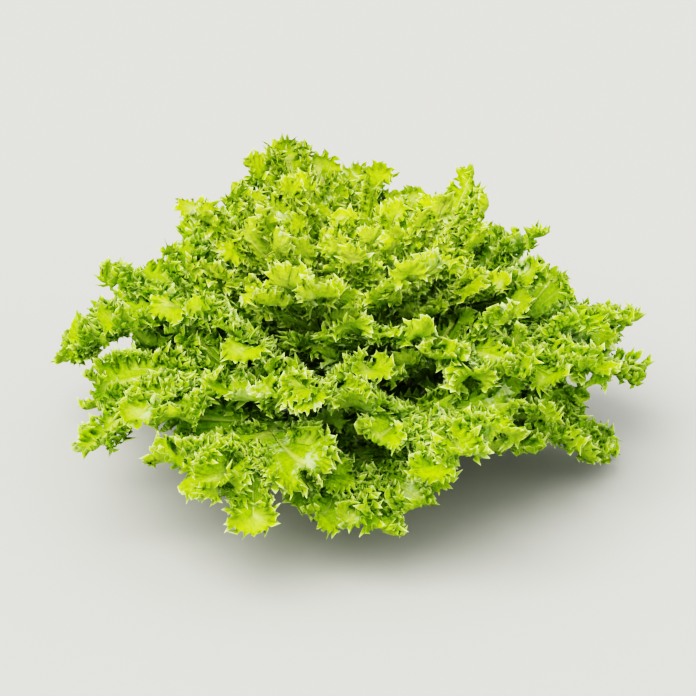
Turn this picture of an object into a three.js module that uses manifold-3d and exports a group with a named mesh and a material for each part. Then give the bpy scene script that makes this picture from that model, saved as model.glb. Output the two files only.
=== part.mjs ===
// A head of curly endive, cut off at the root and standing on its cut stem.
// Millimetres, +Z up. The origin is the centre of the cut face, and the leaves grow round the Z axis.
//
// The leaves leave a short stem in a spiral, each turned by the golden angle from the one before it.
// Each leaf lies in a layer of its own: a surface of revolution whose profile is an arc from the stem outwards.
// The layers are nested. The outermost arches over to the surface that the head stands on, and the innermost
// stands upright. Distances across the layers are counted in layers, so a frill that swings by less than half
// of the way to the next leaf above or below it stays clear of that leaf, however the layers curve.
import * as THREE from "three";
import { mergeVertices } from "three/addons/utils/BufferGeometryUtils.js";
import Module from "manifold-3d";

// The rosette.
const LEAF_COUNT = 44;
const GOLDEN_ANGLE = Math.PI * (3 - Math.sqrt(5));
const LEAF_SEED = 1200;

// A layer, from 0 for the outermost leaf to 1 for the innermost: where its arc starts on the stem, how steeply
// it rises there and ends, in degrees above the horizontal, and how long a leaf of middling size is in it.
const ROOT_RADIUS = { outermost: 18, innermost: 3.5 };
const ROOT_HEIGHT = { outermost: 10, innermost: 43 };
const START_ANGLE = (layer) => 49 + 45 * layer - 6 * layer ** 2;
const END_ANGLE = (layer) => -57 + 133 * layer;
const LEAF_LENGTH = (layer) => 152 + 30 * layer - 82 * layer ** 2;

// How far one leaf differs from the next.
const LENGTH_SPREAD = 0.13; // as a share of its length
const LEAN = THREE.MathUtils.degToRad(5); // the sideways turn at its tip
const DRIFT = 0.4; // how far its tip strays from its layer, in layers

// The outline of a leaf, in millimetres on a leaf of OUTLINE_LENGTH.
const OUTLINE_LENGTH = 140;
const STALK_HALF_WIDTH = 7.2;
const STALK_NARROWING = 0.3;
const BLADE_HALF_WIDTH = 12; // what the blade adds to the stalk where it is widest
const BLADE_STARTS = 0.14; // as a share of the outline's length, as in the next three
const BLADE_FULL = 0.6;
const TIP_STARTS = 0.7;
const MIDRIB_ENDS = 0.93;
const TIP_STATION = 0.62; // where along a row of stations the rounded tip starts
const LOBES = 3.5; // lobes on each side of the blade
const LOBE_DEPTH = 0.2;
const FRILL_WIDTH = { stalk: 1.2, blade: 22 };
const FRILL_LEANS_FORWARD = THREE.MathUtils.degToRad(18);
const WIDEST_TURN = THREE.MathUtils.degToRad(27); // half of the most that a leaf wraps round the stem

// The frill's edge, in layers above or below the leaf's own: a slow wave, and on it a zigzag of teeth whose
// crests reach far out and whose troughs are cut back.
const WAVE_SWING = { outer: 1.15, inner: 0.3 };
const TOOTH_SWING = { outer: 1.0, inner: 0.5 };
const TEETH_IN_A_WAVE = 3.5;
const INNER_LEAVES_START = 0.3; // the layer from which the swings get less
const SWING_STARTS = 0.12; // as a share of the leaf's length
const SWING_FULL = 0.5;
const TOOTH_LENGTH = { crest: 1.12, trough: 0.8 }; // as a share of the frill's width
const TOOTH_SPREAD = 0.2;
const CUPPING = 0.35; // how far the blade's edges rise above its middle, in layers

// Thickness.
const BLADE_HALF_THICKNESS = 0.42;
const RIB_DEPTH = { outermost: 2.4, innermost: 0.5 }; // how far the midrib stands out below, at the root
const RIB_LEFT_AT_TIP = 0.2;
const SHARPEST_MITRE = 1.5;

// Stations along each half of a leaf: on its midrib, on the edge of its smooth middle, and along its frill.
const STATIONS = { outer: [8, 15, 29], inner: [7, 12, 23], heart: [5, 8, 15] };
const OUTER_LEAVES = 24; // the outermost leaves, which are the darkest
const HEART_LEAVES = 10; // the innermost leaves, which are the palest

// The stem: radius and height of its profile, from the middle of the cut face to its top.
const STEM_PROFILE = [[0, 0], [14.2, 0], [15.6, 1.4], [17.6, 6], [18, 10], [3.5, 43], [0, 43.8]];
const STEM_SIDES = 28;
const ROOT_GAP = 0.3; // between the stem and the leaves
const ROOT_OVERRUN = 1.5; // how far a leaf reaches into the stem before the stem's shape is cut out of it

const LEAF_COLOURS = { outer: 0x8fb51f, inner: 0xa3c72a, heart: 0xc3db45 };
const STEM_COLOUR = 0xdfe6b8;

const wasm = await Module();
wasm.setup();

const { lerp, clamp, degToRad, smoothstep } = THREE.MathUtils;

// A generator of even random numbers from 0 to 1, which gives the same numbers in any language.
function randomFrom(seed) {
  const modulus = 2 ** 32;
  let state = (seed * 2654435761) % modulus;
  const next = () => {
    state = (state * 1664525 + 1013904223) % modulus;
    return state / modulus;
  };
  next();
  next();
  return next;
}

// A point in the rosette: its layer, its turn round the Z axis, and its distance along the layer's arc.
function rosettePoint(layer, turn, along) {
  const start = degToRad(START_ANGLE(layer));
  const bend = (degToRad(END_ANGLE(layer)) - start) / LEAF_LENGTH(layer);
  const angle = start + bend * along;
  const radius =
    lerp(ROOT_RADIUS.outermost, ROOT_RADIUS.innermost, layer) + (Math.sin(angle) - Math.sin(start)) / bend;
  const height =
    lerp(ROOT_HEIGHT.outermost, ROOT_HEIGHT.innermost, layer) - (Math.cos(angle) - Math.cos(start)) / bend;
  return new THREE.Vector3(radius * Math.cos(turn), radius * Math.sin(turn), height);
}

// The leaf's own numbers, from its place in the spiral.
function leafAt(index) {
  const random = randomFrom(LEAF_SEED + index);
  const layer = index / (LEAF_COUNT - 1);
  const length = LEAF_LENGTH(layer) * (1 + LENGTH_SPREAD * (2 * random() - 1));
  return {
    index,
    layer,
    length,
    turn: index * GOLDEN_ANGLE,
    lean: LEAN * (2 * random() - 1),
    drift: DRIFT * (2 * random() - 1),
    lobePhase: 2 * Math.PI * random(),
    group: index < OUTER_LEAVES ? "outer" : index < LEAF_COUNT - HEART_LEAVES ? "inner" : "heart",
    size: length / OUTLINE_LENGTH,
    random,
  };
}

// Station s, from 0 at the root to 1 at the tip, on the edge of the leaf's smooth middle: its place in the flat
// leaf, how wide the frill is there, and the angle at which the frill leaves the edge.
function outlineAt(leaf, s) {
  const tip = clamp((s - TIP_STATION) / (1 - TIP_STATION), 0, 1) * (Math.PI / 2);
  const straight = TIP_STARTS * Math.min(s / TIP_STATION, 1);
  const along = straight + (1 - TIP_STARTS) * Math.sin(tip);
  const stalk = STALK_HALF_WIDTH * (1 - STALK_NARROWING * smoothstep(along, 0, BLADE_STARTS * 2));
  const blade = smoothstep(along, BLADE_STARTS, BLADE_FULL);
  const lobe = 1 + LOBE_DEPTH * blade * Math.cos(2 * Math.PI * LOBES * s + leaf.lobePhase);
  const frill = leaf.size * lerp(FRILL_WIDTH.stalk, FRILL_WIDTH.blade, blade);
  return {
    across: leaf.size * (stalk + BLADE_HALF_WIDTH * blade) * lobe * Math.cos(tip),
    along: along * (leaf.length - frill),
    frill,
    heading: lerp(FRILL_LEANS_FORWARD, Math.PI / 2, tip / (Math.PI / 2)),
  };
}

// A point of the flat leaf, lifted out of its layer by a number of layers, set in the rosette.
function placed(leaf, across, along, lift) {
  const share = clamp(along / leaf.length, 0, 1.1);
  const middle = rosettePoint(leaf.layer, 0, along);
  const widest = leaf.size * (STALK_HALF_WIDTH + BLADE_HALF_WIDTH + FRILL_WIDTH.blade);
  const narrowed = Math.min(1, (WIDEST_TURN * middle.x) / (widest * smoothstep(share, -0.2, BLADE_FULL)));
  const turn = leaf.turn + leaf.lean * share ** 2 + (across * narrowed) / middle.x;
  const layersUp = leaf.drift * share ** 2 + lift;
  return rosettePoint(leaf.layer + layersUp / (LEAF_COUNT - 1), turn, along);
}

// The rows of one half of the leaf, from the midrib to the frill's edge. Each point has its place in the row,
// its position, and how thick the leaf is above and below it. side is 1 for one half and -1 for the other.
function halfRows(leaf, side, stations, random) {
  const [ribCount, edgeCount, frillCount] = stations;
  const inwards = smoothstep(leaf.layer, INNER_LEAVES_START, 1);
  const waveSwing = lerp(WAVE_SWING.outer, WAVE_SWING.inner, inwards);
  const toothSwing = lerp(TOOTH_SWING.outer, TOOTH_SWING.inner, inwards);
  const wavePhase = 2 * Math.PI * random();
  const row = (count, pointAt) =>
    Array.from({ length: count }, (_, k) => ({ station: k / (count - 1), ...pointAt(k / (count - 1), k) }));

  const rib = row(ribCount, (s) => {
    const along = lerp(-ROOT_OVERRUN, leaf.length * MIDRIB_ENDS - leaf.size * FRILL_WIDTH.blade, s);
    const depth = lerp(RIB_DEPTH.outermost, RIB_DEPTH.innermost, leaf.layer) * lerp(1, RIB_LEFT_AT_TIP, s);
    return {
      point: placed(leaf, 0, along, 0),
      above: BLADE_HALF_THICKNESS,
      below: BLADE_HALF_THICKNESS + depth,
    };
  });
  const thin = { above: BLADE_HALF_THICKNESS, below: BLADE_HALF_THICKNESS };
  const rooted = (along, s) => (s === 0 ? -ROOT_OVERRUN : along);
  const edge = row(edgeCount, (s) => {
    const at = outlineAt(leaf, s);
    return { point: placed(leaf, side * at.across, rooted(at.along, s), CUPPING * (1 - s)), ...thin };
  });
  const frill = row(frillCount, (s, k) => {
    const at = outlineAt(leaf, s);
    const crest = k % 2 === 0;
    const spread = 1 + TOOTH_SPREAD * (2 * random() - 1);
    const reach = at.frill * (crest ? TOOTH_LENGTH.crest : TOOTH_LENGTH.trough) * spread;
    const tooth = (crest ? toothSwing : -toothSwing) * lerp(0.7, 1, random());
    const wave = waveSwing * Math.sin((Math.PI * k) / TEETH_IN_A_WAVE + wavePhase);
    const height = (tooth + wave) * smoothstep(at.along / leaf.length, SWING_STARTS, SWING_FULL);
    const across = side * (at.across + reach * Math.cos(at.heading));
    const along = rooted(at.along + reach * Math.sin(at.heading), s);
    return { point: placed(leaf, across, along, CUPPING * (1 - s) + height), ...thin };
  });
  return [rib, edge, frill];
}

// The triangles between two rows of vertices, each row given as its stations and its vertex numbers.
function strip(inner, outer) {
  const triangles = [];
  let a = 0;
  let b = 0;
  while (a < inner.length - 1 || b < outer.length - 1) {
    const innerNext = a < inner.length - 1 && inner[a].station + inner[a + 1].station;
    const outerNext = b < outer.length - 1 && outer[b].station + outer[b + 1].station;
    if (outerNext === false || (innerNext !== false && innerNext < outerNext)) {
      triangles.push([inner[a].vertex, inner[a + 1].vertex, outer[b].vertex]);
      a += 1;
    } else {
      triangles.push([inner[a].vertex, outer[b + 1].vertex, outer[b].vertex]);
      b += 1;
    }
  }
  return triangles;
}

// Each vertex's normal, as the mean of its faces' normals, made longer where the faces fold sharply.
function mitredNormals(vertices, triangles) {
  const sums = vertices.map(() => new THREE.Vector3());
  const faces = triangles.map(([a, b, c]) => {
    const normal = new THREE.Triangle(vertices[a].point, vertices[b].point, vertices[c].point).getNormal(
      new THREE.Vector3(),
    );
    for (const v of [a, b, c]) sums[v].add(normal);
    return normal;
  });
  const facing = vertices.map(() => []);
  triangles.forEach((triangle, f) => triangle.forEach((v) => facing[v].push(faces[f])));
  return sums.map((sum, v) => {
    const normal = sum.normalize();
    const least = Math.max(...facing[v].map((face) => 1 / Math.max(face.dot(normal), 1 / SHARPEST_MITRE)));
    return normal.clone().multiplyScalar(least);
  });
}

// A closed solid from a surface given as vertices, triangles and the loop of vertices round its border.
function thickened(vertices, triangles, border) {
  const normals = mitredNormals(vertices, triangles);
  const count = vertices.length;
  const positions = [];
  for (const v of vertices.keys()) {
    positions.push(vertices[v].point.clone().addScaledVector(normals[v], vertices[v].above));
  }
  for (const v of vertices.keys()) {
    positions.push(vertices[v].point.clone().addScaledVector(normals[v], -vertices[v].below));
  }
  const faces = [];
  for (const [a, b, c] of triangles) faces.push([a, b, c], [count + a, count + c, count + b]);
  border.forEach((a, k) => {
    const b = border[(k + 1) % border.length];
    faces.push([a, count + a, b], [b, count + a, count + b]);
  });
  return solidOf(positions, faces);
}

function solidOf(positions, faces) {
  return new wasm.Manifold(
    new wasm.Mesh({
      numProp: 3,
      vertProperties: new Float32Array(positions.flatMap((p) => [p.x, p.y, p.z])),
      triVerts: new Uint32Array(faces.flat()),
    }),
  );
}

// One leaf: two halves that share the midrib and the last station of every row.
function leafSolid(leaf) {
  const stations = STATIONS[leaf.group];
  const vertices = [];
  const numbered = (row) =>
    row.map((entry) => {
      vertices.push(entry);
      return { station: entry.station, vertex: vertices.length - 1 };
    });
  const right = halfRows(leaf, -1, stations, leaf.random).map(numbered);
  const left = halfRows(leaf, 1, stations, leaf.random).map((row, r) =>
    r === 0 ? right[0] : [...numbered(row.slice(0, -1)), right[r].at(-1)],
  );
  const triangles = [];
  for (let r = 0; r < 2; r++) {
    triangles.push(...strip(left[r], left[r + 1]));
    triangles.push(...strip(right[r], right[r + 1]).map(([a, b, c]) => [a, c, b]));
  }
  const numbers = (row) => row.map((entry) => entry.vertex);
  const border = [
    right[1][0].vertex,
    ...numbers(right[2]),
    ...numbers(left[2]).slice(0, -1).reverse(),
    left[1][0].vertex,
    right[0][0].vertex,
  ];
  return thickened(vertices, triangles, border);
}

// The stem, with its outline pushed outwards by a gap, as a lathe that starts and ends on the axis.
function stemGeometry(gap) {
  const profile = STEM_PROFILE.map(([radius, height], k) => {
    if (k === 0) return new THREE.Vector2(0, height - gap);
    if (k === STEM_PROFILE.length - 1) return new THREE.Vector2(0, height + gap);
    return new THREE.Vector2(radius + gap, k === 1 ? height - gap : height);
  });
  return new THREE.LatheGeometry(profile, STEM_SIDES).rotateX(Math.PI / 2);
}

function solidFromGeometry(geometry) {
  const bare = geometry.clone().deleteAttribute("normal").deleteAttribute("uv");
  const merged = mergeVertices(bare, 1e-3);
  return new wasm.Manifold(
    new wasm.Mesh({
      numProp: 3,
      vertProperties: new Float32Array(merged.getAttribute("position").array),
      triVerts: new Uint32Array(merged.getIndex().array),
    }),
  );
}

function geometryFromSolid(solid) {
  const mesh = solid.getMesh();
  const geometry = new THREE.BufferGeometry();
  geometry.setAttribute("position", new THREE.BufferAttribute(mesh.vertProperties, 3));
  geometry.setIndex(new THREE.BufferAttribute(mesh.triVerts, 1));
  geometry.computeVertexNormals();
  return geometry;
}

// The largest body of a solid, without the slivers that a cut can leave.
function largestBody(solid) {
  return solid.decompose().reduce((a, b) => (b.volume() > a.volume() ? b : a));
}

const material = (colour, roughness) =>
  new THREE.MeshStandardMaterial({ color: colour, roughness, metalness: 0 });
const leafMaterials = {
  outer: material(LEAF_COLOURS.outer, 0.5),
  inner: material(LEAF_COLOURS.inner, 0.5),
  heart: material(LEAF_COLOURS.heart, 0.5),
};
const stemMaterial = material(STEM_COLOUR, 0.6);

const head = new THREE.Group();
head.name = "curly_endive_head";

const stem = new THREE.Mesh(stemGeometry(0), stemMaterial);
stem.name = "cut_stem";
head.add(stem);

const stemClearance = solidFromGeometry(stemGeometry(ROOT_GAP));
for (let index = 0; index < LEAF_COUNT; index++) {
  const leaf = leafAt(index);
  const solid = largestBody(leafSolid(leaf).subtract(stemClearance));
  const mesh = new THREE.Mesh(geometryFromSolid(solid), leafMaterials[leaf.group]);
  mesh.name = `${leaf.group}_leaf_${String(index + 1).padStart(2, "0")}`;
  head.add(mesh);
}

export default head;
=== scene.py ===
# A head of curly endive, cut at the root and standing on its stem.
# Each leaf of the frame is grown again in its own place, with its lobes, ruffles, teeth and veins.
import math

import bpy
import numpy as np
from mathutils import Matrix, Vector


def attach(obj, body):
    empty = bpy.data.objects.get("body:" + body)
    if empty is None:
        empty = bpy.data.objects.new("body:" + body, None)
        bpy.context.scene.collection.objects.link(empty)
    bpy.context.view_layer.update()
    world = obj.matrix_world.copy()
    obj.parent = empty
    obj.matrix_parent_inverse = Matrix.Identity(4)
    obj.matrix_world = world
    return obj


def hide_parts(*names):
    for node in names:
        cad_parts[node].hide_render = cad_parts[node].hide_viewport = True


mm = 0.001
fullTurn = 2 * math.pi
halfLayer = 0.5  # far enough off a leaf's surface to tell which side is its upper one
tiny = 1e-12  # keeps a direction without a length from being divided by nothing
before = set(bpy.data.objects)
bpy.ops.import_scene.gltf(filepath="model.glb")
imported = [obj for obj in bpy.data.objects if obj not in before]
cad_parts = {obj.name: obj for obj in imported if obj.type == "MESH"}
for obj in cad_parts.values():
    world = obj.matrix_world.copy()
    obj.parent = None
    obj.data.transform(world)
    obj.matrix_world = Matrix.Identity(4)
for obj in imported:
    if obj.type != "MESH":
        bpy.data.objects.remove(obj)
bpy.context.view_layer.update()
print("frame loaded,", len(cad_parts), "nodes")

# How the leaves sit round the stem. A layer is 0 for the outermost leaf and 1 for the innermost.
# Three numbers stand for a value that changes with the layer: its start, times the layer, times its square.
rosette = {
    "leafCount": 44,
    "outerLeaves": 24,
    "heartLeaves": 10,
    "seed": 1200,
    "goldenAngle": math.pi * (3 - math.sqrt(5)),
    "rootRadius": (18 * mm, -14.5 * mm, 0),
    "rootHeight": (10 * mm, 33 * mm, 0),
    "startAngle": (49, 45, -6),  # degrees above the horizontal
    "endAngle": (-57, 133, 0),
    "leafLength": (152 * mm, 30 * mm, -82 * mm),
    "lengthSpread": 0.13,
    "lean": math.radians(5),
    "drift": 0.4,  # in layers
    "widestTurn": math.radians(33),
    "turnStarts": -0.2,  # share of the leaf's length from which that limit sets in
}

# The outline of a leaf, on a leaf of this length.
outline = {
    "length": 140 * mm,
    "stalkHalfWidth": 7.2 * mm,
    "stalkNarrowing": 0.3,
    "narrowedBy": 0.2,  # share of the leaf's length
    "bladeHalfWidth": 19 * mm,  # what the blade adds to the stalk
    "bladeStarts": 0.1,  # shares of the leaf's length
    "bladeFull": 0.48,
    "tipStarts": 0.7,
    "tipStation": 0.62,
    "ribEnd": 0.94,  # how far along the midrib can be told from the blade
    "stalkRuffle": 1.2 * mm,
    "bladeRuffle": 22 * mm,
    "ruffleLean": math.radians(18),
    "cupping": 0.35,  # in layers
    "overrun": 1.0 * mm,  # how far a leaf starts inside the stem
    "laidOutTo": 1.1,  # share of its length past which a leaf's width and drift stay as they are
}

# The blade is cut almost to the midrib into wedges that open outwards and point forwards.
lobes = {
    "count": 8,  # on each side, and half of the one at the tip
    "jitter": 0.3,  # in lobes
    "jitterPeriod": 0.13,  # share of the edge from root to tip
    "steadyTip": 0.2,  # share of the edge over which the jitter grows from none at the tip
    "spread": 0.15,  # how much wider a wedge is at its crown than an even one, as a share of the pitch
    "crownShape": 1.25,
    "shortest": 0.72,  # reach of the shortest wedge, as a share of the longest
    "crownCuts": 3,  # smaller lobes on each crown
    "cutJitter": (2.2, 1.7),  # how far the cuts wander and how soon, in radians of a lobe
    "cutDepth": 0.54,
    "cutSpread": (0.35, 2.3),  # how much shallower a cut may be, and how soon the depth changes
    "frillCut": 0.62,  # how much narrower the frill is in a cut
    "frillCrown": 1.1,  # how much wider than its mean it is between the cuts
    "bayDepth": 0.3,  # how far back towards the root the bays reach, as a share of the place
    "wing": 1.5 * mm,  # what is left of the blade along the midrib in a bay
    "neck": 0.55,  # how much slimmer the midrib is than the stalk
    "crownFrill": 9.2 * mm,
    "bayFrill": 0.4,  # times the frill on a crown
    "toothRoom": 4.6 * mm,  # kept at the tip for the teeth
    "rise": ((-5.4, 3.6, 0), (4.6, -1.0, 0)),  # lowest and highest, in layers
    "risePeriod": 0.8,  # in lobes
    "riseShape": 1.6,  # a lobe lifts from its neck on
}

# The ruffled edge: waves, curls on the waves, and teeth on the curls.
ruffle = {
    "starts": (0.1, 0.36),  # shares of the leaf's length between which the edge becomes fully ruffled
    "waveSwing": 0.52,  # times the frill's width
    "swingSpread": (0.3, 7 * mm),  # how much the swing varies, and over what length
    "waveLength": 1.35,  # times the swing
    "waveLengthLimits": (3.6 * mm, 7.2 * mm),
    "lengthSpread": (0.35, 11 * mm),  # the same for the lengths of waves and curls
    "waveOverhang": 0.13,  # times the wave's length
    "waveGrowth": 1.2,
    "leastReach": 0.5,  # how far the steepest wave still reaches out, times its flat width
    "edgeShare": 0.1,  # how much of a wave reaches the blade
    "rollBack": 0.35,  # how far a crest's rim rolls back, times the frill's width
    "rollShape": (3, 4),  # the higher, the closer it keeps to the rim and to the crest
    "flop": (math.radians(14), math.radians(42)),  # mean and swing
    "flopLength": 19 * mm,
    "curlLength": 3.7 * mm,
    "curlSwing": 1.7 * mm,
    "curlSpread": (0.4, 7 * mm),
    "curlOverhang": 0.12,
    "curlStarts": 0.25,  # share of the frill's width
    "toothGaps": (3, 4, 4, 5, 6),  # stations from one tooth to the next
    "toothLength": (1.0 * mm, 4.1 * mm),
    "toothShare": 1.3,  # above 1 there are more short teeth than long ones
    "stalkTeeth": 0.25,  # length of a tooth on the stalk, times one on the blade
    "toothBend": 1.5 * mm,
    "toothHook": 1.0,  # how far a tooth leans along the rim, times its length
    "toothFoot": 0.27,  # how high each foot of a tooth stands, times its length
    "toothPinch": 0.3 * mm,  # how far each foot is drawn in
    "notch": 0.6 * mm,
    "stationSpacing": 0.78 * mm,
    "hiddenSpacing": 1.6 * mm,  # down between the leaves
    "hidden": (0.3, 0.5),  # shares of the leaf's length
    "outlineSamples": 4001,
    "smoothing": 29,  # samples over which the frill's heading is evened out
    "floorGap": 0.5 * mm,  # from the floor up, and how softly a leaf settles on it
    "settling": 0.6 * mm,
}

# Rows of the mesh, from the midrib out to the rim: where each lies, and the rim's stations to one of its own.
bladeRows = ((0.0, 32), (0.3, 32), (0.65, 16))
frillRows = ((0.0, 8), (0.4, 4), (0.74, 2), (1.0, 1))
bladeDepth = 0.5  # share of the way from midrib to rim that the blade has in the leaf's map

flesh = {
    "blade": 0.22 * mm,  # half the thickness
    "frill": 0.15 * mm,
    "ribDepth": (3.0 * mm, 0.8 * mm),  # outermost and innermost leaf
    "ribHalfWidth": (4.6 * mm, 0.5 * mm),  # at the root and the tip
    "ribThinning": 0.8,  # how much shallower it is at the tip
    "frillThins": (0.2, 0.8),  # shares of the frill's width
}


def smoothstep(value, low, high):
    t = np.clip((value - low) / (high - low), 0, 1)
    return t * t * (3 - 2 * t)


def quadratic(terms, layer):
    return terms[0] + terms[1] * layer + terms[2] * layer**2


def unit(vectors):
    return vectors / np.maximum(np.linalg.norm(vectors, axis=-1, keepdims=True), tiny)


# The same draws as the frame's own leaves were made with.
draws = {"modulus": 2**32, "seedFactor": 2654435761, "factor": 1664525, "step": 1013904223, "skipped": 2}


def evenDraws(seed):
    state = (seed * draws["seedFactor"]) % draws["modulus"]
    drawn = 0
    while True:
        state = (state * draws["factor"] + draws["step"]) % draws["modulus"]
        drawn += 1
        if drawn > draws["skipped"]:
            yield state / draws["modulus"]


def layerArc(layer, along):
    start = np.radians(quadratic(rosette["startAngle"], layer))
    end = np.radians(quadratic(rosette["endAngle"], layer))
    bend = (end - start) / quadratic(rosette["leafLength"], layer)
    angle = start + bend * along
    radius = quadratic(rosette["rootRadius"], layer) + (np.sin(angle) - np.sin(start)) / bend
    height = quadratic(rosette["rootHeight"], layer) - (np.cos(angle) - np.cos(start)) / bend
    return radius, height


def leafAt(index):
    draw = evenDraws(rosette["seed"] + index)
    layer = index / (rosette["leafCount"] - 1)
    length = quadratic(rosette["leafLength"], layer) * (1 + rosette["lengthSpread"] * (2 * next(draw) - 1))
    if index < rosette["outerLeaves"]:
        group = "outer"
    elif index < rosette["leafCount"] - rosette["heartLeaves"]:
        group = "inner"
    else:
        group = "heart"
    return {
        "layer": layer,
        "length": length,
        "turn": index * rosette["goldenAngle"],
        "lean": rosette["lean"] * (2 * next(draw) - 1),
        "drift": rosette["drift"] * (2 * next(draw) - 1),
        "group": group,
        "size": length / outline["length"],
        "random": np.random.default_rng(rosette["seed"] + index),
    }


# Smooth noise between -1 and 1 along a line, one knot to a period and a few to spare at the ends.
def wander(random, where, period):
    knots = np.arange(np.min(where) - 2 * period, np.max(where) + 3 * period, period)
    values = random.uniform(-1, 1, len(knots))
    place = (where - knots[0]) / period
    knot = np.clip(place.astype(int), 0, len(knots) - 2)
    t = smoothstep(place - knot, 0, 1)
    return values[knot] * (1 - t) + values[knot + 1] * t


# The flat leaf at places s from its root (0) to its tip (1): its midrib, the bays between its lobes,
# the line that their crowns reach, and how wide the frill on it is.
def reachesAt(leaf, s):
    size = leaf["size"]
    tip = np.clip((s - outline["tipStation"]) / (1 - outline["tipStation"]), 0, 1) * (math.pi / 2)
    share = outline["tipStarts"] * np.minimum(s / outline["tipStation"], 1)
    share = share + (1 - outline["tipStarts"]) * np.sin(tip)
    blade = smoothstep(share, outline["bladeStarts"], outline["bladeFull"])
    narrowing = outline["stalkNarrowing"] * smoothstep(share, 0, outline["narrowedBy"])
    stalk = size * outline["stalkHalfWidth"] * (1 - narrowing)
    band = size * (outline["stalkRuffle"] + (outline["bladeRuffle"] - outline["stalkRuffle"]) * blade)
    frill = size * (outline["stalkRuffle"] + (lobes["crownFrill"] - outline["stalkRuffle"]) * blade)
    heading = outline["ruffleLean"] + (1 - outline["ruffleLean"] / (math.pi / 2)) * tip
    crownAcross = (stalk + size * outline["bladeHalfWidth"] * blade) * np.cos(tip)
    crownAcross = crownAcross + (band - frill) * np.cos(heading)
    crownAlong = share * (leaf["length"] - lobes["toothRoom"] - band) + (band - frill) * np.sin(heading)
    bayAcross = (stalk * (1 - lobes["neck"] * blade) + size * lobes["wing"] * blade) * np.cos(tip)
    bayAlong = crownAlong * (1 - lobes["bayDepth"] * blade)
    ribAlong = s * outline["ribEnd"] * (leaf["length"] - size * lobes["crownFrill"]) * (1 - lobes["bayDepth"])
    return {
        "crown": np.stack([crownAcross, crownAlong], axis=-1),
        "bay": np.stack([bayAcross, bayAlong], axis=-1),
        "rib": np.stack([np.zeros_like(s), ribAlong - outline["overrun"] * (1 - s)], axis=-1),
        "frill": frill,
        "blade": blade,
    }


# The lobes along a leaf's edge, from the root (-1) round the tip (0) to the root again (1).
def lobesAlong(leaf, q):
    fromTip = np.abs(q)
    jitter = lobes["jitter"] * fullTurn * wander(leaf["random"], q, lobes["jitterPeriod"])
    jitter = jitter * np.minimum(1, fromTip / lobes["steadyTip"])
    cycle = fullTurn * lobes["count"] * fromTip + jitter
    crown = 1 - (0.5 - 0.5 * np.cos(cycle)) ** lobes["crownShape"]
    signed = cycle * np.sign(q)
    shortening = (1 - lobes["shortest"]) * (0.5 + 0.5 * wander(leaf["random"], signed, fullTurn))
    low, high = (quadratic(terms, leaf["layer"]) for terms in lobes["rise"])
    rise = 0.5 + 0.5 * wander(leaf["random"], signed, fullTurn * lobes["risePeriod"])
    swing, period = lobes["cutJitter"]
    cut = 0.5 - 0.5 * np.cos(lobes["crownCuts"] * cycle + swing * wander(leaf["random"], signed, period))
    spread, period = lobes["cutSpread"]
    cutDepth = lobes["cutDepth"] * (1 - spread + spread * wander(leaf["random"], signed, period))
    frill = lobes["bayFrill"] + (1 - lobes["bayFrill"]) * crown
    return {
        "s": 1 - fromTip,
        "side": np.where(q > 0, 1.0, -1.0),
        "cycle": cycle,
        "reach": crown * (1 - shortening) * (1 - cutDepth * cut),
        "frill": frill * (lobes["frillCrown"] - lobes["frillCut"] * cut),
        "rise": (low + (high - low) * rise) * crown,
    }


# Points of the flat blade and how far they are lifted, at a share v of the way from the midrib to the edge.
def bladeAt(leaf, edge, v):
    shift = lobes["spread"] * np.sin(edge["cycle"]) * v / lobes["count"]
    reaches = reachesAt(leaf, np.clip(edge["s"] - shift, 0, 1))
    outer = reaches["bay"] + (reaches["crown"] - reaches["bay"]) * edge["reach"][..., None]
    flat = reaches["rib"] * (1 - v) + outer * v
    flat[..., 0] *= edge["side"]
    cupping = outline["cupping"] * (1 - edge["s"]) * v**2
    lift = cupping + edge["rise"] * reaches["blade"] * v ** lobes["riseShape"]
    return flat, lift, reaches["frill"] * edge["frill"]


# A point of the flat leaf, lifted by a number of layers, set in the rosette.
def placed(leaf, flat, lift):
    across, along = flat[..., 0], flat[..., 1]
    share = np.clip(along / leaf["length"], 0, outline["laidOutTo"])
    middleRadius, _ = layerArc(leaf["layer"], along)
    widest = leaf["size"] * (outline["stalkHalfWidth"] + outline["bladeHalfWidth"] + outline["bladeRuffle"])
    widest = widest * smoothstep(share, rosette["turnStarts"], outline["bladeFull"])
    room = rosette["widestTurn"] * middleRadius / widest
    turn = leaf["turn"] + leaf["lean"] * share**2 + across * np.minimum(1, room) / middleRadius
    layer = leaf["layer"] + (leaf["drift"] * share**2 + lift) / (rosette["leafCount"] - 1)
    radius, height = layerArc(layer, along)
    return np.stack([radius * np.cos(turn), radius * np.sin(turn), height], axis=-1)


def runLength(points):
    steps = np.linalg.norm(np.diff(points, axis=0), axis=-1)
    return np.concatenate([[0], np.cumsum(steps)])


# Along the blade's edge: the edge in space, the frill's own directions, and how far it reaches.
def frillFrame(leaf, edge):
    flat, lift, frill = bladeAt(leaf, edge, 1.0)
    forward = unit(np.gradient(flat, axis=0))
    away = np.stack([-forward[:, 1], forward[:, 0]], axis=-1)
    window = np.hanning(ruffle["smoothing"])
    margin = ruffle["smoothing"] // 2
    evened = [np.convolve(np.pad(column, margin, mode="edge"), window, mode="valid") for column in away.T]
    away = unit(np.stack(evened, axis=-1))
    points = placed(leaf, flat, lift)
    outward = placed(leaf, flat + away * frill[:, None], lift) - points
    tangent = unit(np.gradient(points, axis=0))
    reach = np.linalg.norm(outward, axis=-1)
    outward = unit(outward - tangent * np.sum(outward * tangent, axis=-1, keepdims=True))
    normal = unit(np.cross(outward, tangent))
    above = placed(leaf, flat, lift + halfLayer) - points
    normal = normal * np.sign(np.sum(normal * above))
    return {
        "flat": flat, "points": points, "reach": reach, "away": away,
        "tangent": tangent, "outward": outward, "normal": normal,
    }


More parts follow.
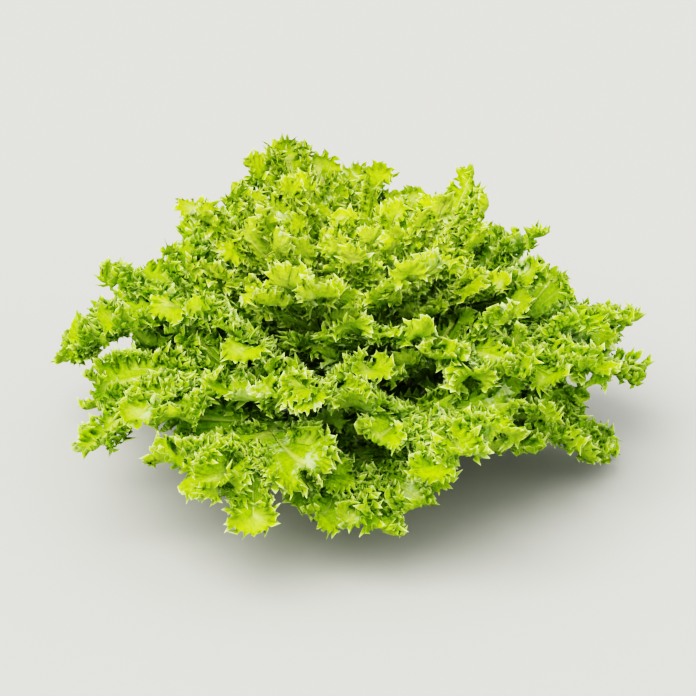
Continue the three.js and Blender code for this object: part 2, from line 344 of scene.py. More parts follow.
def wavesAlong(leaf, fine):
    random = leaf["random"]
    run = runLength(fine["points"])
    ruffled = smoothstep(fine["flat"][:, 1] / leaf["length"], *ruffle["starts"])
    spread, period = ruffle["swingSpread"]
    swing = ruffle["waveSwing"] * fine["reach"] * ruffled * (1 + spread * wander(random, run, period))
    waveLength = np.clip(ruffle["waveLength"] * swing, *ruffle["waveLengthLimits"])
    spread, period = ruffle["lengthSpread"]
    waveLength = waveLength * (1 + spread * wander(random, run, period))
    phase = fullTurn * np.concatenate([[0], np.cumsum(np.diff(run) / waveLength[1:])])
    mean, spread = ruffle["flop"]
    return {
        "ruffled": ruffled,
        "swing": swing,
        "waveLength": waveLength,
        "phase": phase + random.uniform(0, fullTurn),
        "flop": (mean + spread * wander(random, run, ruffle["flopLength"])) * ruffled,
    }


# The waved frill at a share u of its width, for every point of the edge.
def wavyBand(fine, waves, u):
    growth = ruffle["edgeShare"] + (1 - ruffle["edgeShare"]) * u ** ruffle["waveGrowth"]
    rise = waves["swing"] * growth * np.sin(waves["phase"])
    slip = -ruffle["waveOverhang"] * waves["waveLength"] * growth
    slip = slip * np.sin(2 * waves["phase"]) * waves["ruffled"]
    flat = fine["reach"] * u
    out = np.sqrt(np.maximum(flat**2 - (rise * u) ** 2, (ruffle["leastReach"] * flat) ** 2))
    rim, crest = ruffle["rollShape"]
    rolled = ruffle["rollBack"] * fine["reach"] * u**rim * np.sin(waves["phase"]) ** crest
    out = out - rolled * waves["ruffled"]
    turned = (waves["flop"] * u)[:, None]
    outward = fine["outward"] * np.cos(turned) + fine["normal"] * np.sin(turned)
    normal = fine["normal"] * np.cos(turned) - fine["outward"] * np.sin(turned)
    return fine["points"] + outward * out[:, None] + normal * rise[:, None] + fine["tangent"] * slip[:, None]


# All rows of the frill at the rim's own stations, with curls and teeth.
def curlyBand(leaf, fine, waves):
    random = leaf["random"]
    shares = np.array([share for share, _ in frillRows])
    band = np.stack([wavyBand(fine, waves, u) for u in shares])
    alongBand = unit(np.gradient(band, axis=1))
    acrossBand = unit(np.gradient(band, shares, axis=0))
    normal = unit(np.cross(acrossBand, alongBand))
    run = runLength(band[-1])
    spread, period = ruffle["lengthSpread"]
    curlLength = ruffle["curlLength"] * (1 + spread * wander(random, run, period))
    phase = fullTurn * np.concatenate([[0], np.cumsum(np.diff(run) / curlLength[1:])])
    spread, period = ruffle["curlSpread"]
    swing = ruffle["curlSwing"] * (1 + spread * wander(random, run, period)) * waves["ruffled"]
    growth = smoothstep(shares, ruffle["curlStarts"], 1.0)[:, None]
    slip = -growth * ruffle["curlOverhang"] * curlLength * np.sin(2 * phase) * waves["ruffled"]
    band = band + normal * (growth * swing * np.sin(phase))[..., None] + alongBand * slip[..., None]

    count = len(run)
    tips = np.cumsum(random.choice(ruffle["toothGaps"], count))
    tips = tips[tips < count - 1]
    low, high = ruffle["toothLength"]
    strength = ruffle["stalkTeeth"] + (1 - ruffle["stalkTeeth"]) * waves["ruffled"]
    reach = low + (high - low) * random.uniform(0, 1, len(tips)) ** ruffle["toothShare"]
    lean = ruffle["toothHook"] * random.uniform(-1, 1, len(tips))
    length = np.full(count, -ruffle["notch"])
    bend, hook, tooth = np.zeros(count), np.zeros(count), np.zeros(count)
    for foot, inwards in ((tips - 1, 1), (tips + 1, -1)):
        length[foot] = np.maximum(length[foot], ruffle["toothFoot"] * reach)
        hook[foot] += inwards * ruffle["toothPinch"]
    length[tips] = reach
    bend[tips] = ruffle["toothBend"] * random.uniform(-1, 1, len(tips))
    hook[tips] = lean * reach
    tooth[tips] = 1
    outward = unit(band[-1] - band[-2])
    band[-1] += outward * (length * strength)[:, None]
    band[-1] += normal[-1] * (bend * strength)[:, None] + alongBand[-1] * (hook * strength)[:, None]
    return band, tooth


# Every array of a table, taken at new stations of the edge.
def samplesOf(table, stations, q):
    taken = {}
    for name, values in table.items():
        columns = values.reshape(len(q), -1).T
        taken[name] = np.stack([np.interp(stations, q, column) for column in columns], axis=-1)
        if values.ndim == 1:
            taken[name] = taken[name][:, 0]
    return taken


# Stations along the edge, even in the length of the waved rim, as many on one half of the leaf as the other.
def rimStations(leaf, fine, waves, q):
    steps = np.diff(runLength(wavyBand(fine, waves, 1.0)))
    seen = smoothstep(fine["flat"][1:, 1] / leaf["length"], *ruffle["hidden"])
    spacing = ruffle["hiddenSpacing"] + (ruffle["stationSpacing"] - ruffle["hiddenSpacing"]) * seen
    run = np.concatenate([[0], np.cumsum(steps / spacing)])
    middle = run[len(run) // 2]
    coarsest = bladeRows[0][1]
    half = coarsest * max(2, round(run[-1] / 2 / coarsest))
    places = np.concatenate([np.linspace(0, middle, half + 1), np.linspace(middle, run[-1], half + 1)[1:]])
    return np.interp(places, run, q)


# Triangles between two rows of vertex numbers, where the outer has as many segments or twice as many.
def stripBetween(inner, outer):
    if len(outer) == len(inner):
        return np.concatenate([
            np.stack([inner[:-1], outer[:-1], outer[1:]], axis=-1),
            np.stack([inner[:-1], outer[1:], inner[1:]], axis=-1),
        ])
    first, middle, last = outer[:-1:2], outer[1::2], outer[2::2]
    return np.concatenate([
        np.stack([inner[:-1], first, middle], axis=-1),
        np.stack([inner[:-1], middle, inner[1:]], axis=-1),
        np.stack([inner[1:], middle, last], axis=-1),
    ])


def vertexNormals(points, triangles):
    corners = points[triangles]
    faces = np.cross(corners[:, 1] - corners[:, 0], corners[:, 2] - corners[:, 0])
    normals = np.zeros_like(points)
    for corner in range(3):
        np.add.at(normals, triangles[:, corner], faces)
    return unit(normals)


# The middle surface of a leaf: its points and triangles, and what its flesh and finish need at each point.
def leafSurface(leaf):
    q = np.linspace(-1, 1, ruffle["outlineSamples"])
    edge = lobesAlong(leaf, q)
    fine = frillFrame(leaf, edge)
    waves = wavesAlong(leaf, fine)
    stations = rimStations(leaf, fine, waves, q)
    edge, fine, waves = (samplesOf(table, stations, q) for table in (edge, fine, waves))
    for name in ("tangent", "outward", "normal"):
        fine[name] = unit(fine[name])
    band, tooth = curlyBand(leaf, fine, waves)

    rows, points, facts = [], [], []
    count = 0
    for v, step in bladeRows:
        here = slice(None, None, step)
        flat, lift, _ = bladeAt(leaf, {name: values[here] for name, values in edge.items()}, v)
        zero = np.zeros(len(flat))
        points.append(placed(leaf, flat, lift))
        depth = zero + bladeDepth * v
        facts.append(np.column_stack([flat, zero, zero, edge["cycle"][here], stations[here], depth]))
    for (u, step), row in zip(frillRows, band):
        here = slice(None, None, step)
        flat = fine["flat"] + fine["away"] * (u * fine["reach"])[:, None]
        rimness = u * waves["ruffled"]
        depth = np.full(len(flat), bladeDepth + (1 - bladeDepth) * u)
        toothness = tooth * (u == 1)
        points.append(row[here])
        facts.append(np.column_stack([flat, rimness, toothness, edge["cycle"], stations, depth])[here])
    for row in points:
        rows.append(np.arange(count, count + len(row)))
        count += len(row)
    triangles = np.concatenate([stripBetween(inner, outer) for inner, outer in zip(rows[:-1], rows[1:])])
    return np.concatenate(points), triangles, np.concatenate(facts), rows


def boundaryEdges(triangles, count):
    edges = np.concatenate([triangles[:, [0, 1]], triangles[:, [1, 2]], triangles[:, [2, 0]]])
    forward = edges[:, 0].astype(np.int64) * count + edges[:, 1]
    backward = edges[:, 1].astype(np.int64) * count + edges[:, 0]
    return edges[~np.isin(forward, backward)]


def triangleMesh(name, points, triangles, corners, numbers):
    mesh = bpy.data.meshes.new(name)
    mesh.vertices.add(len(points))
    mesh.vertices.foreach_set("co", points.astype(np.float32).ravel())
    mesh.loops.add(len(triangles) * 3)
    mesh.loops.foreach_set("vertex_index", triangles.astype(np.int32).ravel())
    mesh.polygons.add(len(triangles))
    mesh.polygons.foreach_set("loop_start", np.arange(0, len(triangles) * 3, 3, dtype=np.int32))
    mesh.update(calc_edges=True)
    mesh.shade_smooth()
    mesh.uv_layers.new(name="OFBake").uv.foreach_set("vector", corners.astype(np.float32).ravel())
    for key, values in numbers.items():
        mesh.attributes.new(key, "FLOAT", "POINT").data.foreach_set("value", values.astype(np.float32))
    return mesh


# The edges between two marked points stay sharp, so that each face of a thin rim keeps its own shading.
def sharpenBetween(mesh, marked):
    ends = np.empty(len(mesh.edges) * 2, dtype=np.int32)
    mesh.edges.foreach_get("vertices", ends)
    sharp = marked[ends.reshape(-1, 2)].all(axis=1)
    mesh.attributes.new("sharp_edge", "BOOLEAN", "EDGE").data.foreach_set("value", sharp)


# How a leaf's upper face, under face and cut edge share the height of its map.
leafMap = {"faceHeight": 0.47, "underStarts": 0.5, "cutEdge": 0.985}


# A closed leaf: its surface thickened above and below, thinned to nothing at the rim,
# with a fleshy midrib beneath.
def leafMesh(leaf, name):
    points, triangles, facts, rows = leafSurface(leaf)
    count = len(points)
    # The first row passes the midrib up and down again, so its second half is joined to the first.
    spine = rows[0]
    half = len(spine) // 2
    joined = np.arange(count)
    joined[spine[half + 1:]] = spine[:half][::-1]
    body = joined[triangles]
    whole = (body[:, 0] != body[:, 1]) & (body[:, 1] != body[:, 2]) & (body[:, 2] != body[:, 0])
    body, source = body[whole], triangles[whole]
    normals = vertexNormals(points, body)
    middle = np.array([0, leaf["length"] / 2])
    above = placed(leaf, middle, halfLayer) - placed(leaf, middle, 0)
    if np.sum(normals[spine[half // 2]] * above) < 0:
        normals = -normals
        body, source = body[:, ::-1], source[:, ::-1]

    across, along, rimness, tooth, cycle, q, depth = facts.T
    share = np.clip(along / leaf["length"], 0, 1)
    rootWidth, tipWidth = flesh["ribHalfWidth"]
    ribWidth = leaf["size"] * (rootWidth + (tipWidth - rootWidth) * share)
    rib = np.clip(1 - (across / ribWidth) ** 2, 0, 1) * (rimness == 0)
    outermost, innermost = flesh["ribDepth"]
    ribDepth = (outermost + (innermost - outermost) * leaf["layer"]) * (1 - flesh["ribThinning"] * share)
    shell = flesh["blade"] + (flesh["frill"] - flesh["blade"]) * smoothstep(rimness, *flesh["frillThins"])
    isRim = np.zeros(count, dtype=bool)
    isRim[rows[-1]] = True
    shell = np.where(isRim, 0, shell)
    top = points + normals * shell[:, None]
    bottom = points - normals * (shell + ribDepth * rib)[:, None]

    below = np.where(isRim, np.arange(count), np.arange(count) + count)
    border = boundaryEdges(body, count)
    border = border[~isRim[border].all(axis=1)]
    a, b = border.T
    sides = np.concatenate([np.stack([b, a, below[a]], axis=-1), np.stack([b, below[a], below[b]], axis=-1)])
    sides = sides[(sides[:, 0] != sides[:, 2]) & (sides[:, 1] != sides[:, 2])]
    faces = np.concatenate([body, below[body[:, ::-1]], sides])
    both = np.concatenate([top, bottom])
    gap = ruffle["floorGap"]
    both[:, 2] = gap + (both[:, 2] - gap + np.hypot(both[:, 2] - gap, ruffle["settling"])) / 2

    u = (q + 1) / 2
    upper = np.stack([u, leafMap["faceHeight"] * depth], axis=-1)
    under = np.stack([u, leafMap["underStarts"] + leafMap["faceHeight"] * depth], axis=-1)
    cut = np.stack([u, np.full_like(u, leafMap["cutEdge"])], axis=-1)
    corners = np.concatenate([upper[source], under[source[:, ::-1]], cut[sides % count]]).reshape(-1, 2)

    used = np.unique(faces)
    renumber = np.full(2 * count, -1)
    renumber[used] = np.arange(len(used))
    numbers = {
        "rimness": rimness, "tooth": tooth, "share": share,
        "rib": rib, "lobe": cycle / fullTurn, "depth": depth,
    }
    numbers = {key: np.tile(values, 2)[used] for key, values in numbers.items()}
    numbers["under"] = np.repeat([0.0, 1.0], count)[used]
    mesh = triangleMesh(name, both[used], renumber[faces], corners, numbers)
    sharpenBetween(mesh, np.tile(isRim, 2)[used])
    return mesh


def linear(hexColour):
    channels = [int(hexColour[k:k + 2], 16) / 255 for k in (1, 3, 5)]
    return tuple(c / 12.92 if c <= 0.04045 else ((c + 0.055) / 1.055) ** 2.4 for c in channels) + (1.0,)


# Adds a shader node with its settings and links, and gives back one of its outputs, by name or
# the first in use. Inputs go by name, or by number among those in use.
def addNode(tree, kind, inputs, output=None, **settings):
    node = tree.nodes.new("ShaderNode" + kind)
    for name, value in settings.items():
        setattr(node, name, value)
    inUse = [socket for socket in node.inputs if socket.enabled]
    for key, value in inputs.items():
        socket = inUse[key] if isinstance(key, int) else node.inputs[key]
        if isinstance(value, bpy.types.NodeSocket):
            tree.links.new(value, socket)
        else:
            socket.default_value = value
    if output:
        return node.outputs[output]
    return next((socket for socket in node.outputs if socket.enabled), None)


def emptyMaterial(name):
    material = bpy.data.materials.new(name)
    material.use_nodes = True
    material.node_tree.nodes.clear()
    return material, material.node_tree


noiseRange = (0.3, 0.7)  # where most of a noise texture's values lie
# The colour for the rim and tooth tips in each group is partly the paler tissue of the edge and partly a
# painted highlight.
leafColours = {
    "outer": {
        "blade": "#98bf00", "frill": "#a8cc02", "paleEdgeAndHighlight": "#edf9b8", "rib": "#c8dc70", "under": "#b2cf48",
    },
    "inner": {
        "blade": "#a5c802", "frill": "#b4d206", "paleEdgeAndHighlight": "#f0fabc", "rib": "#d2e27c", "under": "#bdd650",
    },
    "heart": {
        "blade": "#acd00c", "frill": "#bedc16", "paleEdgeAndHighlight": "#f1fbb8", "rib": "#e0ea94", "under": "#cede64",
    },
}
leafFinish = {
    "rootColour": "#eef0d6",
    "rooted": (0.13, 0.02),  # shares of the leaf's length where the white of the root starts and is full
    "translucency": (0.5, 0.25),  # in the blade and at the rim
    "throughSaturation": 1.12,
    "throughHue": 0.486,  # light that has come through is yellower; 0.5 would leave it as it is
    "roughness": (0.28, 0.48),
    "ior": 1.42,  # the thin wax of a leaf
    "sheen": 0.3,  # the wax is finely broken, so it mirrors less than a smooth one
    "veinSpacing": 0.13,  # in lobes
    "veinWidth": 0.018,
    "mainVein": (0.0072, 0.036),  # half widths at full strength and in all
    "sideVeins": 0.65,  # how strong beside the main one
    "sideVeinsStart": (0.15, 0.5),  # shares of the way from midrib to rim
    "veinStrength": 0.9,
    "veinsEnd": (0.1, 0.8),  # shares of the frill's width
    "frillFull": 0.75,  # share of the frill's width where its own colour is full
    "patterns": {  # size and detail of each
        "mottle": (14 * mm, 3.0),
        "patch": (20 * mm, 2.0),
        "blister": (2.2 * mm, 1.0),  # the swellings between the finest veins
    },
    "mottleRange": (0.86, 1.1),
    "leafRange": (0.9, 1.08),  # from the darkest leaf to the lightest
    # Painted shade in the creases between the blisters and painted light on their swellings.
    "creaseShadeRange": (0.85, 1.18),  # darker in the creases between them
    # A painted reflection of the sky: pale patches on the blades.
    "paintedSkyReflection": "#d2e4b6",
    "skyReflectionCover": (0.62, 0.7),  # only the highest values of its noise carry it
    "skyReflectionStrength": 0.66,
    "skyReflectionBreak": (-0.06, 0.06),  # it lies on the swellings more than in the creases
    "underside": 0.5,  # how far the under face takes its own colour
    "rimStarts": 0.945,  # share of the frill's width
    # How pale the rim and the tooth tips turn: partly the paler tissue of the edge, partly a painted
    # highlight on it.
    "rimPaleAndHighlight": 0.62,
    "toothPaleAndGlint": (0.4, 1.0),  # from foot to tip
    "relief": 1.0 * mm,
    "reliefStrength": 0.9,
}


def leafMaterial(name, colours):
    # Crisp living leaf, grown thin: waxy and faintly glossy, and it glows yellow where light comes through.
    material, tree = emptyMaterial(name)
    tint = {key: linear(colour) for key, colour in colours.items()}
    facts = ("rimness", "tooth", "share", "rib", "lobe", "depth", "under")
    fact = {key: addNode(tree, "Attribute", {}, "Fac", attribute_name=key) for key in facts}
    place = addNode(tree, "TexCoord", {}, "Object")
    noise = {
        key: addNode(tree, "TexNoise", {"Vector": place, "Scale": 1 / size, "Detail": detail})
        for key, (size, detail) in leafFinish["patterns"].items()
    }
    lowNoise, highNoise = noiseRange

    # Veins run up each lobe from its neck, one along the middle and more beside it.
    fromMiddle = addNode(tree, "Math", {0: fact["lobe"], 1: 0.5}, operation="PINGPONG")
    halfSpacing = leafFinish["veinSpacing"] / 2
    fromVein = addNode(tree, "Math", {0: fromMiddle, 1: halfSpacing}, operation="PINGPONG")
    vein = addNode(tree, "MapRange", {
        "Value": fromVein, "From Max": leafFinish["veinWidth"], "To Min": 1.0, "To Max": 0.0})
    start, full = leafFinish["sideVeinsStart"]
    beside = addNode(tree, "MapRange", {
        "Value": fact["depth"], "From Min": start, "From Max": full, "To Max": leafFinish["sideVeins"]})
    vein = addNode(tree, "Math", {0: vein, 1: beside}, operation="MULTIPLY")
    core, whole = leafFinish["mainVein"]
    mainVein = addNode(tree, "MapRange", {
        "Value": fromMiddle, "From Min": core, "From Max": whole, "To Min": 1.0, "To Max": 0.0})
    vein = addNode(tree, "Math", {0: vein, 1: mainVein}, operation="MAXIMUM")
    fading, gone = leafFinish["veinsEnd"]
    inBlade = addNode(tree, "MapRange", {
        "Value": fact["rimness"], "From Min": fading, "From Max": gone,
        "To Min": leafFinish["veinStrength"], "To Max": 0.0})
    veined = addNode(tree, "Math", {0: vein, 1: inBlade}, operation="MULTIPLY")

    # The green differs from leaf to leaf and drifts along each one; painted shade darkens the creases between
    # the blisters and painted light brightens their swellings.
    outwards = addNode(tree, "MapRange", {"Value": fact["rimness"], "From Max": leafFinish["frillFull"]})
    colour = addNode(tree, "Mix", {0: outwards, 1: tint["blade"], 2: tint["frill"]}, data_type="RGBA")
    low, high = leafFinish["mottleRange"]
    shade = addNode(tree, "MapRange", {
        "Value": noise["mottle"], "From Min": lowNoise, "From Max": highNoise,
        "To Min": low, "To Max": high})
    low, high = leafFinish["leafRange"]
    ownDraw = addNode(tree, "ObjectInfo", {}, "Random")
    own = addNode(tree, "MapRange", {"Value": ownDraw, "To Min": low, "To Max": high})
    shade = addNode(tree, "Math", {0: shade, 1: own}, operation="MULTIPLY")
    # Painted shade in the creases and painted light on the swellings, following the same noise as the relief.
    low, high = leafFinish["creaseShadeRange"]
    paintedCreaseShade = addNode(tree, "MapRange", {
        "Value": noise["blister"], "From Min": lowNoise, "From Max": highNoise,
        "To Min": low, "To Max": high})
    shade = addNode(tree, "Math", {0: shade, 1: paintedCreaseShade}, operation="MULTIPLY")
    colour = addNode(tree, "HueSaturation", {"Color": colour, "Value": shade})

    # A painted reflection of the sky in rare pale patches, broken up by the blisters.
    low, high = leafFinish["skyReflectionBreak"]
    broken = addNode(tree, "MapRange", {
        "Value": noise["blister"], "From Min": lowNoise, "From Max": highNoise,
        "To Min": low, "To Max": high})
    skyReflectionField = addNode(tree, "Math", {0: noise["patch"], 1: broken}, operation="ADD")
    start, full = leafFinish["skyReflectionCover"]
    paintedSkyReflection = addNode(tree, "MapRange", {
        "Value": skyReflectionField, "From Min": start, "From Max": full, "To Max": leafFinish["skyReflectionStrength"]})
    colour = addNode(tree, "Mix", {0: paintedSkyReflection, 1: colour, 2: linear(leafFinish["paintedSkyReflection"])}, data_type="RGBA")

    # Veins and midrib are paler, the root is white and the under face duller.
    colour = addNode(tree, "Mix", {0: veined, 1: colour, 2: tint["rib"]}, data_type="RGBA")
    colour = addNode(tree, "Mix", {0: fact["rib"], 1: colour, 2: tint["rib"]}, data_type="RGBA")
    start, full = leafFinish["rooted"]
    rooted = addNode(tree, "MapRange", {"Value": fact["share"], "From Min": start, "From Max": full})
    rootColour = linear(leafFinish["rootColour"])
    colour = addNode(tree, "Mix", {0: rooted, 1: colour, 2: rootColour}, data_type="RGBA")
    dulled = addNode(tree, "Math", {0: fact["under"], 1: leafFinish["underside"]}, operation="MULTIPLY")
    colour = addNode(tree, "Mix", {0: dulled, 1: colour, 2: tint["under"]}, data_type="RGBA")

    # The rim is pale and the tips of its teeth nearly white: partly the paler tissue of the edge, partly a
    # painted highlight along the rim and on the tooth tips.
    nearRim = addNode(tree, "MapRange", {
        "Value": fact["rimness"], "From Min": leafFinish["rimStarts"], "To Max": leafFinish["rimPaleAndHighlight"]})
    foot, tip = leafFinish["toothPaleAndGlint"]
    nearTip = addNode(tree, "MapRange", {"Value": fact["tooth"], "From Min": foot, "From Max": tip})
    paleAndHighlit = addNode(tree, "Math", {0: nearTip, 1: nearRim}, operation="MAXIMUM")
    colour = addNode(tree, "Mix", {0: paleAndHighlit, 1: colour, 2: tint["paleEdgeAndHighlight"]}, data_type="RGBA")

    sunk = addNode(tree, "Math", {0: veined, 1: -1.0}, operation="MULTIPLY")
    height = addNode(tree, "Math", {0: noise["blister"], 1: sunk}, operation="ADD")
    bump = addNode(tree, "Bump", {
        "Height": height, "Strength": leafFinish["reliefStrength"], "Distance": leafFinish["relief"]})
    low, high = leafFinish["roughness"]
    rough = addNode(tree, "MapRange", {"Value": noise["patch"], "To Min": low, "To Max": high})
    waxy = addNode(tree, "BsdfPrincipled", {
        "Base Color": colour, "Roughness": rough, "IOR": leafFinish["ior"],
        "Specular IOR Level": leafFinish["sheen"], "Normal": bump})
    deeper = addNode(tree, "HueSaturation", {
        "Color": colour, "Hue": leafFinish["throughHue"], "Saturation": leafFinish["throughSaturation"]})
    through = addNode(tree, "BsdfTranslucent", {"Color": deeper, "Normal": bump})
    bladeLight, rimLight = leafFinish["translucency"]
    thin = addNode(tree, "MapRange", {
        "Value": nearRim, "From Max": leafFinish["rimPaleAndHighlight"], "To Min": bladeLight, "To Max": rimLight})
    surface = addNode(tree, "MixShader", {0: thin, 1: waxy, 2: through})
    addNode(tree, "OutputMaterial", {"Surface": surface})
    return material


def addPiece(mesh, material, node):
    mesh.materials.append(material)
    piece = bpy.data.objects.new(mesh.name, mesh)
    bpy.context.scene.collection.objects.link(piece)
    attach(piece, "root")
    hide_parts(node)


leafMaterials = {
    "outer": leafMaterial("waxyOuterLeaf", leafColours["outer"]),
    "inner": leafMaterial("waxyInnerLeaf", leafColours["inner"]),
    "heart": leafMaterial("tenderHeartLeaf", leafColours["heart"]),
}
triangleTotal = 0
for index in range(rosette["leafCount"]):
    leaf = leafAt(index)
    group = leaf["group"]
    mesh = leafMesh(leaf, f"curly{group.capitalize()}Leaf_{index + 1:02d}")
    triangleTotal += len(mesh.polygons)
    addPiece(mesh, leafMaterials[group], f"{group}_leaf_{index + 1:02d}")
print("leaves grown,", triangleTotal, "triangles")

# The cut stem, turned from its half outline and then marked by the knife and by leaves that were trimmed off.
stem = {
    "outline": ((0, 0), (14.2, 0), (15.6, 1.4), (17.6, 6.0), (18.0, 10.0), (3.5, 43.0), (0, 43.8)),  # mm
    "rowSpacing": 0.8 * mm,
    "segments": 120,
    "outOfRound": 0.35 * mm,
    "fluting": (9, 0.25 * mm),  # how many, and how deep
    "knifeMarks": (2.6 * mm, 0.12 * mm),  # how far apart, and how deep
    "knifeHeading": 0.4,  # in radians
    "marksFade": 0.8,  # share of the cut's radius from which they fade
    "scars": 7,
    "scarHeight": 4.2 * mm,
    "scarSize": (0.42, 1.5 * mm),  # half width in radians, half height
    "scarCurve": 1.2 * mm,  # how much higher its ends are
    "scarDepth": 0.7 * mm,
    "faceMap": (4.5, 0.25),  # the map's width in radii of the cut, and the place of the cut's centre in it
    "sideMap": (0.5, 0.45),  # where the side starts in the map and how wide it is there
}
stemFinish = {
    "pith": "#ece9cb",
    "vessels": "#cfd69c",  # the ring of vessels
    "browned": "#b4915c",  # the cut dries brown from its edge
    "side": "#e3e7bd",
    "scar": "#c3a877",
    "vesselRing": 0.76,  # of the cut's radius
    "ringWidth": (0.02, 0.1),  # half widths at full strength and in all, of the cut's radius
    "ringStrength": 0.8,
    "ringWaver": 0.05,
    "browning": (0.82, 1.0),
    "browningStrength": 0.85,
    "roughness": 0.5,
    "ior": 1.4,  # wet plant flesh
    "subsurface": 0.15,
    "glowDepth": 2 * mm,
    "fibre": (0.9 * mm, 3.0),  # size and detail
    "fibreRange": (0.85, 1.1),
    "relief": 0.2 * mm,
    "reliefStrength": 0.5,
}


def stemMesh():
    outlinePoints = np.array(stem["outline"]) * mm
    run = runLength(outlinePoints)
    places = np.unique(np.concatenate([run, np.arange(0, run[-1], stem["rowSpacing"])]))[1:-1]
    radius = np.interp(places, run, outlinePoints[:, 0])[:, None]
    height = np.interp(places, run, outlinePoints[:, 1])[:, None]
    segments = stem["segments"]
    angle = np.linspace(0, fullTurn, segments, endpoint=False)[None, :]
    random = np.random.default_rng(rosette["seed"])
    phases = random.uniform(0, fullTurn, 3)
    flutes, fluteDepth = stem["fluting"]
    cutRadius = outlinePoints[1, 0]
    onCut = smoothstep(radius, 0, cutRadius)
    uneven = stem["outOfRound"] * (np.sin(2 * angle + phases[0]) + np.sin(3 * angle + phases[1])) / 2
    uneven = uneven + fluteDepth * np.sin(flutes * angle + phases[2])
    scar = np.zeros((len(places), segments))
    halfWidth, halfHeight = stem["scarSize"]
    for k in range(stem["scars"]):
        turned = (angle - k * rosette["goldenAngle"] + math.pi) % fullTurn - math.pi
        middle = stem["scarHeight"] + stem["scarCurve"] * (turned / halfWidth) ** 2
        spot = 1 - (turned / halfWidth) ** 2 - ((height - middle) / halfHeight) ** 2
        scar = np.maximum(scar, np.clip(spot, 0, 1) ** 0.5 * (height > 0))
    wide = radius + (uneven - stem["scarDepth"] * scar) * onCut
    spacing, depth = stem["knifeMarks"]
    marks = depth * (0.5 + 0.5 * np.sin(fullTurn * radius * np.cos(angle + stem["knifeHeading"]) / spacing))
    cutFace = height <= 0
    high = height + marks * cutFace * (1 - smoothstep(radius, stem["marksFade"] * cutRadius, cutRadius))
    ring = np.stack([wide * np.cos(angle), wide * np.sin(angle), high + 0 * angle], axis=-1).reshape(-1, 3)
    points = np.concatenate([ring, [(0, 0, outlinePoints[0, 1]), (0, 0, outlinePoints[-1, 1])]])

    number = np.arange(len(ring)).reshape(-1, segments)
    a, b = number[:-1], np.roll(number[:-1], -1, axis=1)
    c, d = number[1:], np.roll(number[1:], -1, axis=1)
    walls = np.concatenate([np.stack([a, d, b], axis=-1), np.stack([a, c, d], axis=-1)]).reshape(-1, 3)
    bottom = np.stack([number[0], np.roll(number[0], -1), np.full(segments, len(ring))], axis=-1)
    top = np.stack([np.roll(number[-1], -1), number[-1], np.full(segments, len(ring) + 1)], axis=-1)
    triangles = np.concatenate([walls, bottom, top])[:, ::-1]
    across = np.append(np.repeat((radius / cutRadius).ravel(), segments), (0, 0))
    upwards = np.append(np.repeat((height / outlinePoints[-1, 1]).ravel(), segments), (0, 1))
    onFace = np.append(np.repeat(cutFace.ravel(), segments), (True, False))
    mapWidth, centre = stem["faceMap"]
    face = points[:, :2] / (mapWidth * cutRadius) + centre
    sideStarts, sideWidth = stem["sideMap"]
    roundStem = np.arctan2(points[:, 1], points[:, 0]) / fullTurn + 0.5
    side = np.stack([sideStarts + sideWidth * roundStem, upwards], axis=-1)
    corners = np.where(onFace[triangles].all(axis=1)[:, None, None], face[triangles], side[triangles])
    scarred = np.append(scar.ravel(), (0, 0))
    numbers = {"radial": across, "cut": onFace.astype(float), "scarred": scarred}
    return triangleMesh("trimmedStem", points, triangles, corners.reshape(-1, 2), numbers)


def stemMaterial():
    # Freshly cut stem: wet milky flesh, a greener ring of vessels, and browning where the cut has dried.
    material, tree = emptyMaterial("freshlyCutStem")
    tint = {key: linear(stemFinish[key]) for key in ("pith", "vessels", "browned", "side", "scar")}
    facts = ("radial", "cut", "scarred")
    fact = {key: addNode(tree, "Attribute", {}, "Fac", attribute_name=key) for key in facts}
    place = addNode(tree, "TexCoord", {}, "Object")
    size, detail = stemFinish["fibre"]
    fibre = addNode(tree, "TexNoise", {"Vector": place, "Scale": 1 / size, "Detail": detail})
    waver = stemFinish["ringWaver"]
    wobble = addNode(tree, "MapRange", {"Value": fibre, "To Min": -waver, "To Max": waver})
    radial = addNode(tree, "Math", {0: fact["radial"], 1: wobble}, operation="ADD")
    offRing = addNode(tree, "Math", {0: radial, 1: stemFinish["vesselRing"]}, operation="SUBTRACT")
    fromRing = addNode(tree, "Math", {0: offRing}, operation="ABSOLUTE")
    core, whole = stemFinish["ringWidth"]
    inRing = addNode(tree, "MapRange", {
        "Value": fromRing, "From Min": core, "From Max": whole,
        "To Min": stemFinish["ringStrength"], "To Max": 0.0})
    face = addNode(tree, "Mix", {0: inRing, 1: tint["pith"], 2: tint["vessels"]}, data_type="RGBA")
    start, full = stemFinish["browning"]
    dried = addNode(tree, "MapRange", {
        "Value": radial, "From Min": start, "From Max": full, "To Max": stemFinish["browningStrength"]})
    face = addNode(tree, "Mix", {0: dried, 1: face, 2: tint["browned"]}, data_type="RGBA")
    flank = addNode(tree, "Mix", {0: fact["scarred"], 1: tint["side"], 2: tint["scar"]}, data_type="RGBA")
    colour = addNode(tree, "Mix", {0: fact["cut"], 1: flank, 2: face}, data_type="RGBA")
    low, high = stemFinish["fibreRange"]
    shade = addNode(tree, "MapRange", {"Value": fibre, "To Min": low, "To Max": high})
    colour = addNode(tree, "HueSaturation", {"Color": colour, "Value": shade})
    bump = addNode(tree, "Bump", {
        "Height": fibre, "Strength": stemFinish["reliefStrength"], "Distance": stemFinish["relief"]})
    wet = addNode(tree, "BsdfPrincipled", {
        "Base Color": colour, "Roughness": stemFinish["roughness"], "IOR": stemFinish["ior"],
        "Subsurface Weight": stemFinish["subsurface"], "Subsurface Scale": stemFinish["glowDepth"],
        "Normal": bump})
    addNode(tree, "OutputMaterial", {"Surface": wet})
    return material


addPiece(stemMesh(), stemMaterial(), "cut_stem")
print("stem cut")

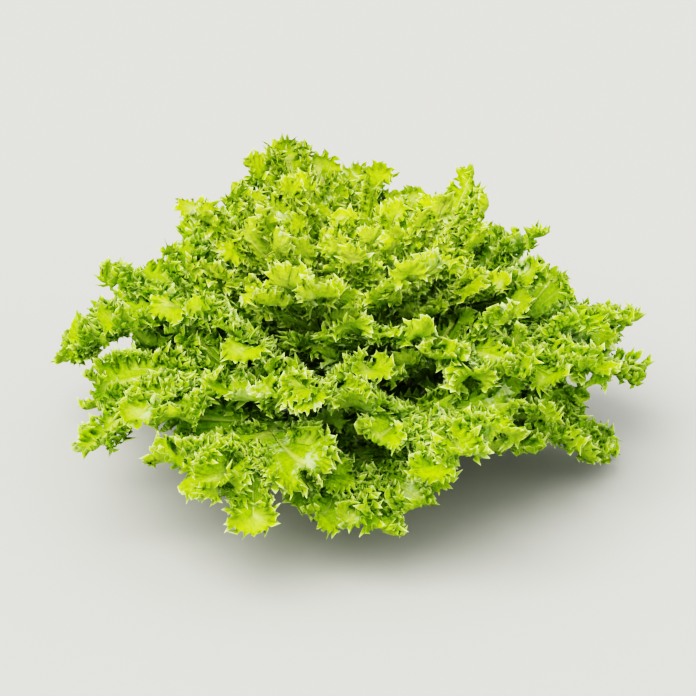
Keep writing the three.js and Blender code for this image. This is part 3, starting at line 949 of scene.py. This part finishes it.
studio = {
    "floorColour": "#a2a19c",
    "floorSize": 24.0,
    "floorGrain": 6 * mm,  # drawn coarser than the paint's own so that it shows
    "floorRelief": 0.1 * mm,
    "floorReliefStrength": 0.1,
    "floorRoughness": 0.85,
    "aim": (0.0, 0.0, 0.066),
    "elevation": math.radians(25),
    "distance": 1.7,
    "lens": 178.0,
    "farthest": 20.0,
    "key": {"from": (-0.45, -0.55, 1.0), "spread": math.radians(56), "power": 5.6, "colour": "#fffdf6"},
    "fill": {"from": (0.5, -1.0, 0.55), "spread": math.radians(80), "power": 1.3, "colour": "#ffffff"},
    "look": "Very High Contrast",
    "skyColour": "#f2f4f5",
    "skyStrength": 1.25,
}


def floorMaterial():
    # Matt painted board, rolled on: even, with the faintest grain.
    material, tree = emptyMaterial("mattPaintedBoard")
    place = addNode(tree, "TexCoord", {}, "Object")
    grain = addNode(tree, "TexNoise", {"Vector": place, "Scale": 1 / studio["floorGrain"]})
    bump = addNode(tree, "Bump", {
        "Height": grain, "Strength": studio["floorReliefStrength"], "Distance": studio["floorRelief"]})
    paint = addNode(tree, "BsdfPrincipled", {
        "Base Color": linear(studio["floorColour"]), "Roughness": studio["floorRoughness"], "Normal": bump})
    addNode(tree, "OutputMaterial", {"Surface": paint})
    return material


floorMesh = bpy.data.meshes.new("floor")
half = studio["floorSize"] / 2
floorCorners = [(-half, -half, 0), (half, -half, 0), (half, half, 0), (-half, half, 0)]
floorMesh.from_pydata(floorCorners, [], [(0, 1, 2, 3)])
floorMesh.materials.append(floorMaterial())
floor = bpy.data.objects.new("floor", floorMesh)
bpy.context.scene.collection.objects.link(floor)

for name in ("key", "fill"):
    settings = studio[name]
    light = bpy.data.lights.new(name + "Light", "SUN")
    light.angle = settings["spread"]
    light.energy = settings["power"]
    light.color = linear(settings["colour"])[:3]
    lamp = bpy.data.objects.new(light.name, light)
    lamp.location = settings["from"]
    lamp.rotation_euler = (-lamp.location).to_track_quat("-Z", "Y").to_euler()
    bpy.context.scene.collection.objects.link(lamp)

world = bpy.data.worlds.new("studioSky")
world.use_nodes = True
background = world.node_tree.nodes["Background"]
background.inputs["Color"].default_value = linear(studio["skyColour"])
background.inputs["Strength"].default_value = studio["skyStrength"]
bpy.context.scene.world = world

camera = bpy.data.cameras.new("camera")
camera.lens = studio["lens"]
camera.clip_end = studio["farthest"]
cameraObject = bpy.data.objects.new("camera", camera)
back = Vector((0, -math.cos(studio["elevation"]), math.sin(studio["elevation"])))
cameraObject.location = Vector(studio["aim"]) + back * studio["distance"]
cameraObject.rotation_euler = (-back).to_track_quat("-Z", "Y").to_euler()
bpy.context.scene.collection.objects.link(cameraObject)
bpy.context.scene.camera = cameraObject
bpy.context.scene.view_settings.view_transform = "Filmic"
bpy.context.scene.view_settings.look = studio["look"]
print("studio set")
